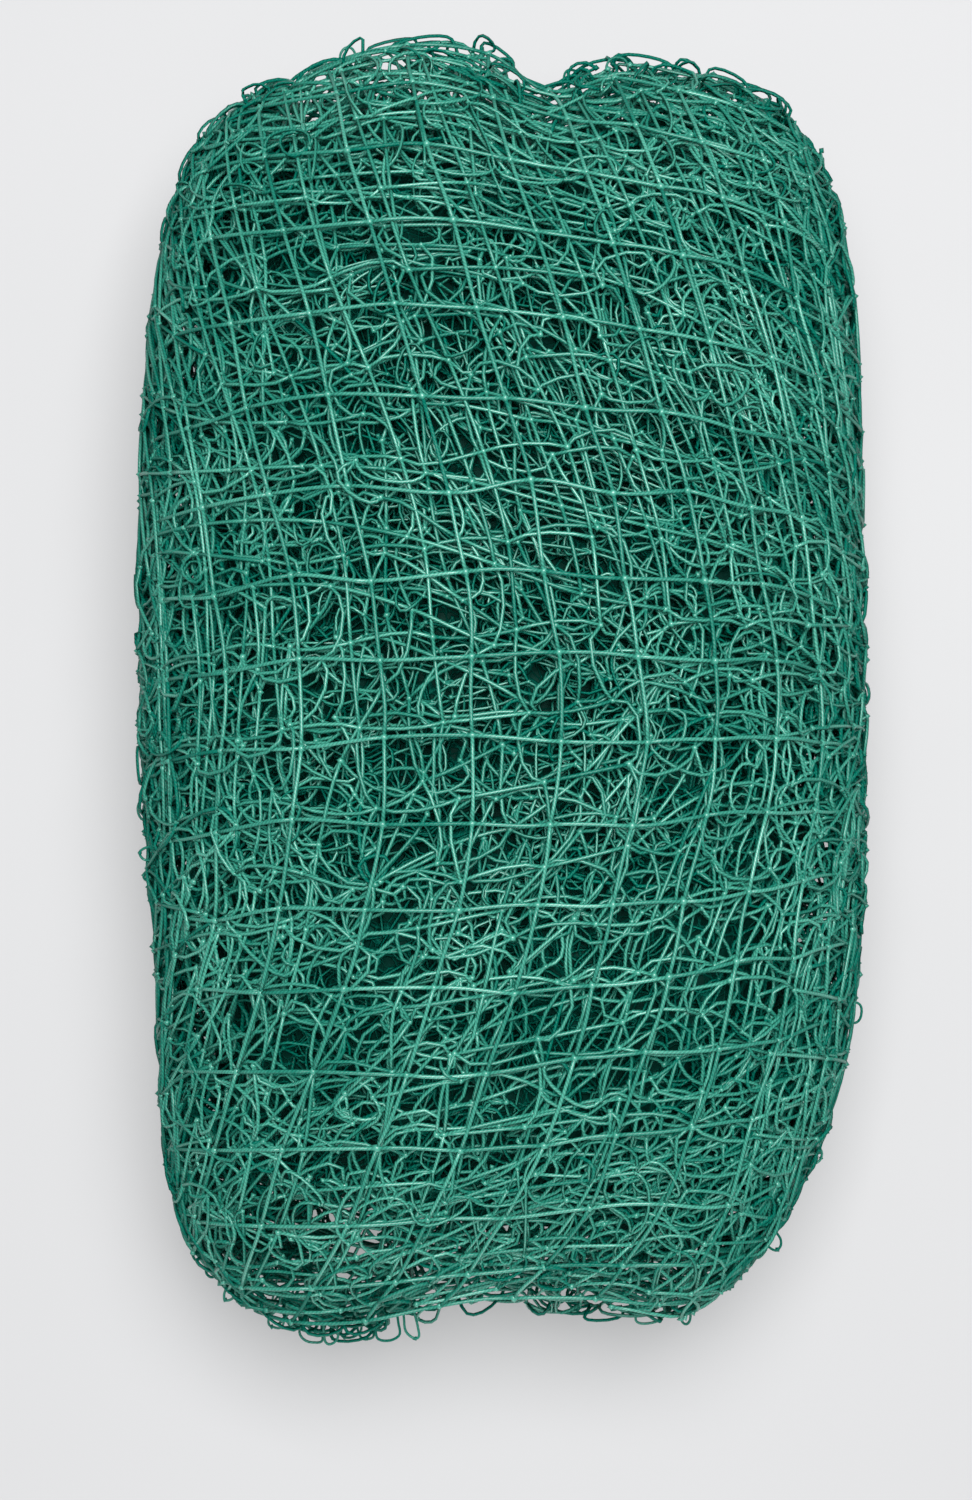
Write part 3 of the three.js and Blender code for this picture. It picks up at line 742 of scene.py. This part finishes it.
# layers gathered one way into combs of nearly parallel bars, in patches
combLayers = dict(
    waves=(0.09, 0.26), small=0.0025, shallow=0.0022, across=(0.13, 0.87), along=(0.03, 0.97),
    loose=0.0, arch=0.5, open=0.12, gather=0.0,
    upper=dict(sides=3, lift=(-0.35, 0.4), radius=0.00114, knot=0.0016, rings=(5, 9)),
    lower=dict(sides=3, lift=(-0.35, 0.4), radius=0.00114, knot=0.0016, rings=(4, 7)),
    rows=[
        (0.0070, 0.0015, -7.0, 1.16, 3.2, 0.012, (7, 1)),
        (0.0075, 0.0015, 20.0, 3.1, 1.17, 0.012, (7, -1)),
        (0.0110, 0.0020, 12.0, 1.17, 2.9, 0.016, (8, 1)),
        (0.0115, 0.0020, -14.0, 2.9, 1.18, 0.016, (8, -1)),
        (0.0160, 0.0025, -18.0, 1.18, 2.7, 0.020, (9, 1)),
        (0.0165, 0.0025, 32.0, 2.7, 1.18, 0.020, (9, -1)),
    ],
)
combs = netsFrom(skin, combLayers, rng)
netPiece("combs_upper", combs[:3], combLayers["upper"], rng)
netPiece("combs_lower", combs[3:], combLayers["lower"], rng)

# layers crumpled both ways
looseLayers = dict(
    waves=(0.10, 0.30), small=0.0035, shallow=0.0024, across=(0.13, 0.87), along=(0.03, 0.97),
    loose=0.0, arch=0.4, open=0.12, gather=0.05,
    slack=dict(sides=4, lift=(-0.15, 0.2), radius=0.00108, knot=0.0019, rings=(4, 8)),
    middle=dict(sides=3, lift=(-0.3, 0.4), radius=0.00114, knot=0.0016, rings=(3, 6)),
    deep=dict(sides=3, lift=(-0.1, 0.3), radius=0.00114, knot=0.0016, rings=(3, 6)),
    rows=[
        (0.0052, 0.0018, -8.0, 1.22, 1.36, 0.026),
        (0.0075, 0.0022, 12.0, 1.32, 1.42, 0.028),
        (0.0150, 0.0030, -20.0, 1.40, 1.55, 0.034),
        (0.0200, 0.0040, 28.0, 1.45, 1.65, 0.036),
        (0.0255, 0.0040, -32.0, 1.50, 1.70, 0.036),
        (0.0310, 0.0030, 5.0, 1.60, 1.80, 0.036),
    ],
)
crumpled = netsFrom(skin, looseLayers, rng)
netPiece("slack_layers", crumpled[:2], looseLayers["slack"], rng)
netPiece("loose_layers", crumpled[2:4], looseLayers["middle"], rng)
netPiece("deep_layers", crumpled[4:], looseLayers["deep"], rng)

# the folded ends, where the net lies in rows round the noses of the folds with loops standing out
endLayers = dict(
    waves=(0.07, 0.22), small=0.0045, shallow=0.0010, across=(0.05, 0.95), along=(0.05, 0.95),
    loose=0.008, arch=0.32, open=0.0, gather=0.0,
    twine=dict(sides=3, lift=(0.1, 0.5), radius=0.00114, knot=0.0016, rings=(5, 9)),
    rows=[
        (0.0020, 0.0012, 3.0, 1.15, 1.55, 0.014),
        (0.0060, 0.0025, -6.0, 1.25, 1.75, 0.020),
        (0.0110, 0.0035, 9.0, 1.25, 1.75, 0.024),
    ],
)
for end in ("front", "back"):
    netPiece(f"{end}_folds", netsFrom(ends[end], endLayers, rng), endLayers["twine"], rng)

# single meshes that stand out of the outline: x, y, width, reach in millimetres and direction in degrees
looseLoops = dict(
    # the loops' tone is lowered as painted shade, as if they lay in shadow with the light behind them
    height=0.105, spread=0.018, rings=18, radius=0.0008, sides=6, knot=0.0015, knotShare=0.5, toneAndShade=-2,
    rise=0.25, roll=0.3, bend=(0.5, 1.1), belly=0.35, footShares=[0.6, 0.75], footDepths=[-0.030, -0.018],
    begin=-0.006, reachShare=0.7, reachMore=0.006, uneven=0.2, unevenTurns=(2, 6), lean=0.4, leanAt=0.01,
    loops=[
        (-88, 357, 9, 8, 115), (-81, 358, 7, 6, 100), (-2, 362, 9, 7, 60), (3, 357, 7, 6, 40), (20, 346, 8, 5, 95),
        (42, 351, 9, 9, 75), (51, 355, 10, 7, 95), (68, 353, 12, 6, 85), (80, 353, 15, 5, 95), (90, 352, 10, 6, 70),
        (112, 347, 11, 7, 100), (123, 345, 9, 9, 80), (-174, -330, 8, 5, 215), (-165, -340, 9, 6, 225),
        (-155, -352, 7, 6, 240), (-147, -357, 6, 4, 250), (-138, -362, 9, 8, 232), (-131, -368, 8, 14, 262),
        (-120, -372, 11, 6, 255), (-108, -376, 12, 7, 268), (-97, -376, 8, 6, 275), (-88, -377, 11, 7, 262),
        (-77, -375, 8, 6, 285), (-64, -374, 12, 5, 270), (-50, -371, 7, 7, 280), (86, -364, 16, 6, 278),
        (104, -364, 6, 9, 290), (148, -331, 10, 6, 320), (156, -324, 8, 5, 310), (182, -275, 11, 3, 340),
        (203, -193, 11, 6, 355), (205, -134, 6, 4, 350), (206, -91, 9, 3, 0), (-202, -103, 8, 3, 180),
        (-201, -115, 7, 3, 180), (-207, -77, 13, 3, 185),
    ],
)


# each loop is half a superellipse |cos t|^p, |sin t|^p, a little drawn in at its foot,
# on legs that begin inside the bundle
def loopPaths(rng):
    look = looseLoops
    rows = np.array(look["loops"], float).T
    x, y, width, reach = rows[:4] / 1000
    turn = np.radians(rows[4])
    each = (len(x), 1)
    away = np.stack([np.cos(turn), np.sin(turn), rng.normal(0, look["rise"], len(x))], 1)
    aside = np.stack([-away[:, 1], away[:, 0], rng.normal(0, look["roll"], len(x))], 1)
    t = np.linspace(0, np.pi, look["rings"])
    foot = np.stack([x, y, look["height"] + look["spread"] * rng.normal(0, 1, len(x))], 1)
    bend = rng.uniform(*look["bend"], each)  # boxy under 1, pointed over 1
    across = np.sign(np.cos(t)) * np.abs(np.cos(t)) ** bend * (1 + look["belly"] * np.sin(t))
    feet = np.ones(each) * look["footShares"]
    across = np.concatenate([feet, across, -feet[:, ::-1]], 1)
    legs = np.concatenate([look["footDepths"], 0 * t + look["begin"], look["footDepths"][::-1]])
    arc = np.concatenate([0 * feet, np.maximum(np.sin(t), 0) ** bend, 0 * feet], 1)
    out = arc * (look["reachShare"] * reach + look["reachMore"])[:, None] + legs
    turns, phase = rng.uniform(*look["unevenTurns"], each), rng.uniform(0, 6, each)
    uneven = 1 + look["uneven"] * np.sin(np.linspace(0, 1, len(legs)) * turns + phase)
    lean = look["lean"] * rng.normal(0, 1, each) * np.maximum(out, 0) / look["leanAt"]
    sideways = width[:, None] / 2 * (across * uneven + lean)
    return foot[:, None] + aside[:, None] * sideways[..., None] + away[:, None] * out[..., None], away


# the loops in twine, darkened with painted shade, with a knot at the tips of about half of them
def loopsPiece(rng):
    paths, away = loopPaths(rng)
    upward = np.tile([0.0, 0.0, 1.0], (len(paths), 1))
    ring, walls, caps, twist, toneAndShade = twineTubes(paths, upward, looseLoops["radius"], looseLoops["sides"], rng)
    knotted = np.flatnonzero(rng.random(len(paths)) < looseLoops["knotShare"])
    tips = dict(place=paths[:, paths.shape[1] // 2], outward=away, knots=knotted)
    corners, lumps = knotLumps(tips, looseLoops["knot"], rng)
    maps = np.concatenate([twist, np.zeros((caps.size + lumps.size, 2))])
    makePiece("loose_loops", np.concatenate([ring, corners]), [walls, caps, lumps + len(ring)], twineGreen, maps,
              np.concatenate([toneAndShade, np.zeros(len(corners))]) + looseLoops["toneAndShade"])


loopsPiece(rng)

# the layers deep inside
packed = dict(depth=0.034, rows=70, columns=110, ends=(0.09, 0.94), relief=0.004, waves=(0.05, 0.16),
              drawnBack=0.035, backRamp=(0.22, 0.1), backBell=(-0.12, 0.07), lowest=0.004)


# the skin sunk by a depth and broad waves, drawn back in front as ramp * bell, and closed by a fan at each end
def packedNet(rng):
    u, v = np.meshgrid(np.linspace(0, 1, packed["columns"] + 1)[:-1], np.linspace(*packed["ends"], packed["rows"]))
    place, outward = onSurface(skin, u, v, np.full(u.shape, packed["depth"]))
    waves = broadWaves(u * skin["size"][0], v * skin["size"][1], rng, packed["waves"])
    place = place - packed["relief"] * waves[..., None] * outward
    back = ramp(-place[..., 1], *packed["backRamp"]) * bellAt(place[..., 0], *packed["backBell"])
    place[..., 1] += packed["drawnBack"] * back
    place[..., 2] = np.maximum(place[..., 2], packed["lowest"])
    index = np.arange(u.size).reshape(u.shape)
    after = np.roll(index, -1, axis=1)
    walls = np.stack([index[:-1], after[:-1], after[1:], index[1:]], 2).reshape(-1, 4)
    middle = [place[0].mean(0), place[-1].mean(0)]
    fans = [np.stack([after[0], index[0], np.full(len(index[0]), u.size)], 1),
            np.stack([index[-1], after[-1], np.full(len(index[0]), u.size + 1)], 1)]
    points = np.concatenate([place.reshape(-1, 3), middle])
    return makePiece("packed_net", points, [walls, np.concatenate(fans)], packedGreen)


core = packedNet(rng)
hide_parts("net_bundle")

# floor and light
studio = dict(floor=(0.30, 0.30, 0.305, 1), paintedBounceGlow=0.28, floorHalf=6, sky=(0.95, 0.97, 1.0, 1), skyStrength=0.45,
              key=79, keyPlace=(0.15, 0.42, 2.4), keySize=1.3, fill=4, fillPlace=(-0.1, -1.2, 0.2), fillSize=0.7,
              aim=(0, 0, 0.1))


# a flat square floor that glows as painted bounce light, an even sky, and two square lamps that face the aim
def buildStudio():
    finish = Finish("pale floor")
    where = finish.node("ShaderNodeTexCoord", {}, {}, 3)
    speck = finish.node("ShaderNodeTexNoise", {}, {"Vector": where, "Scale": 3.0, "Detail": 3.0})
    # the floor's glow is painted light that lifts the shadows on it round and under the bundle and lights the net from
    # below
    material = finish.surface({"Base Color": studio["floor"], "Roughness": speck * 0.15 + 0.5,
                               "Emission Color": (1, 1, 1, 1), "Emission Strength": studio["paintedBounceGlow"]})
    mesh = bpy.data.meshes.new("floor")
    half = studio["floorHalf"]
    mesh.from_pydata([(-half, -half, 0), (half, -half, 0), (half, half, 0), (-half, half, 0)], [], [(0, 1, 2, 3)])
    mesh.materials.append(material)
    floor = bpy.data.objects.new("floor", mesh)
    bpy.context.collection.objects.link(floor)
    world = bpy.data.worlds.new("soft sky")
    world.use_nodes = True
    world.node_tree.nodes["Background"].inputs[0].default_value = studio["sky"]
    world.node_tree.nodes["Background"].inputs[1].default_value = studio["skyStrength"]
    bpy.context.scene.world = world
    for name in ("key", "fill"):
        data = bpy.data.lights.new(name, "AREA")
        data.energy, data.size = studio[name], studio[name + "Size"]
        light = bpy.data.objects.new(name, data)
        light.location = studio[name + "Place"]
        light.rotation_euler = (Vector(studio["aim"]) - light.location).to_track_quat("-Z", "Y").to_euler()
        bpy.context.collection.objects.link(light)
    bpy.context.scene.view_settings.view_transform = "Standard"
    print("floor and lamps placed")


buildStudio()
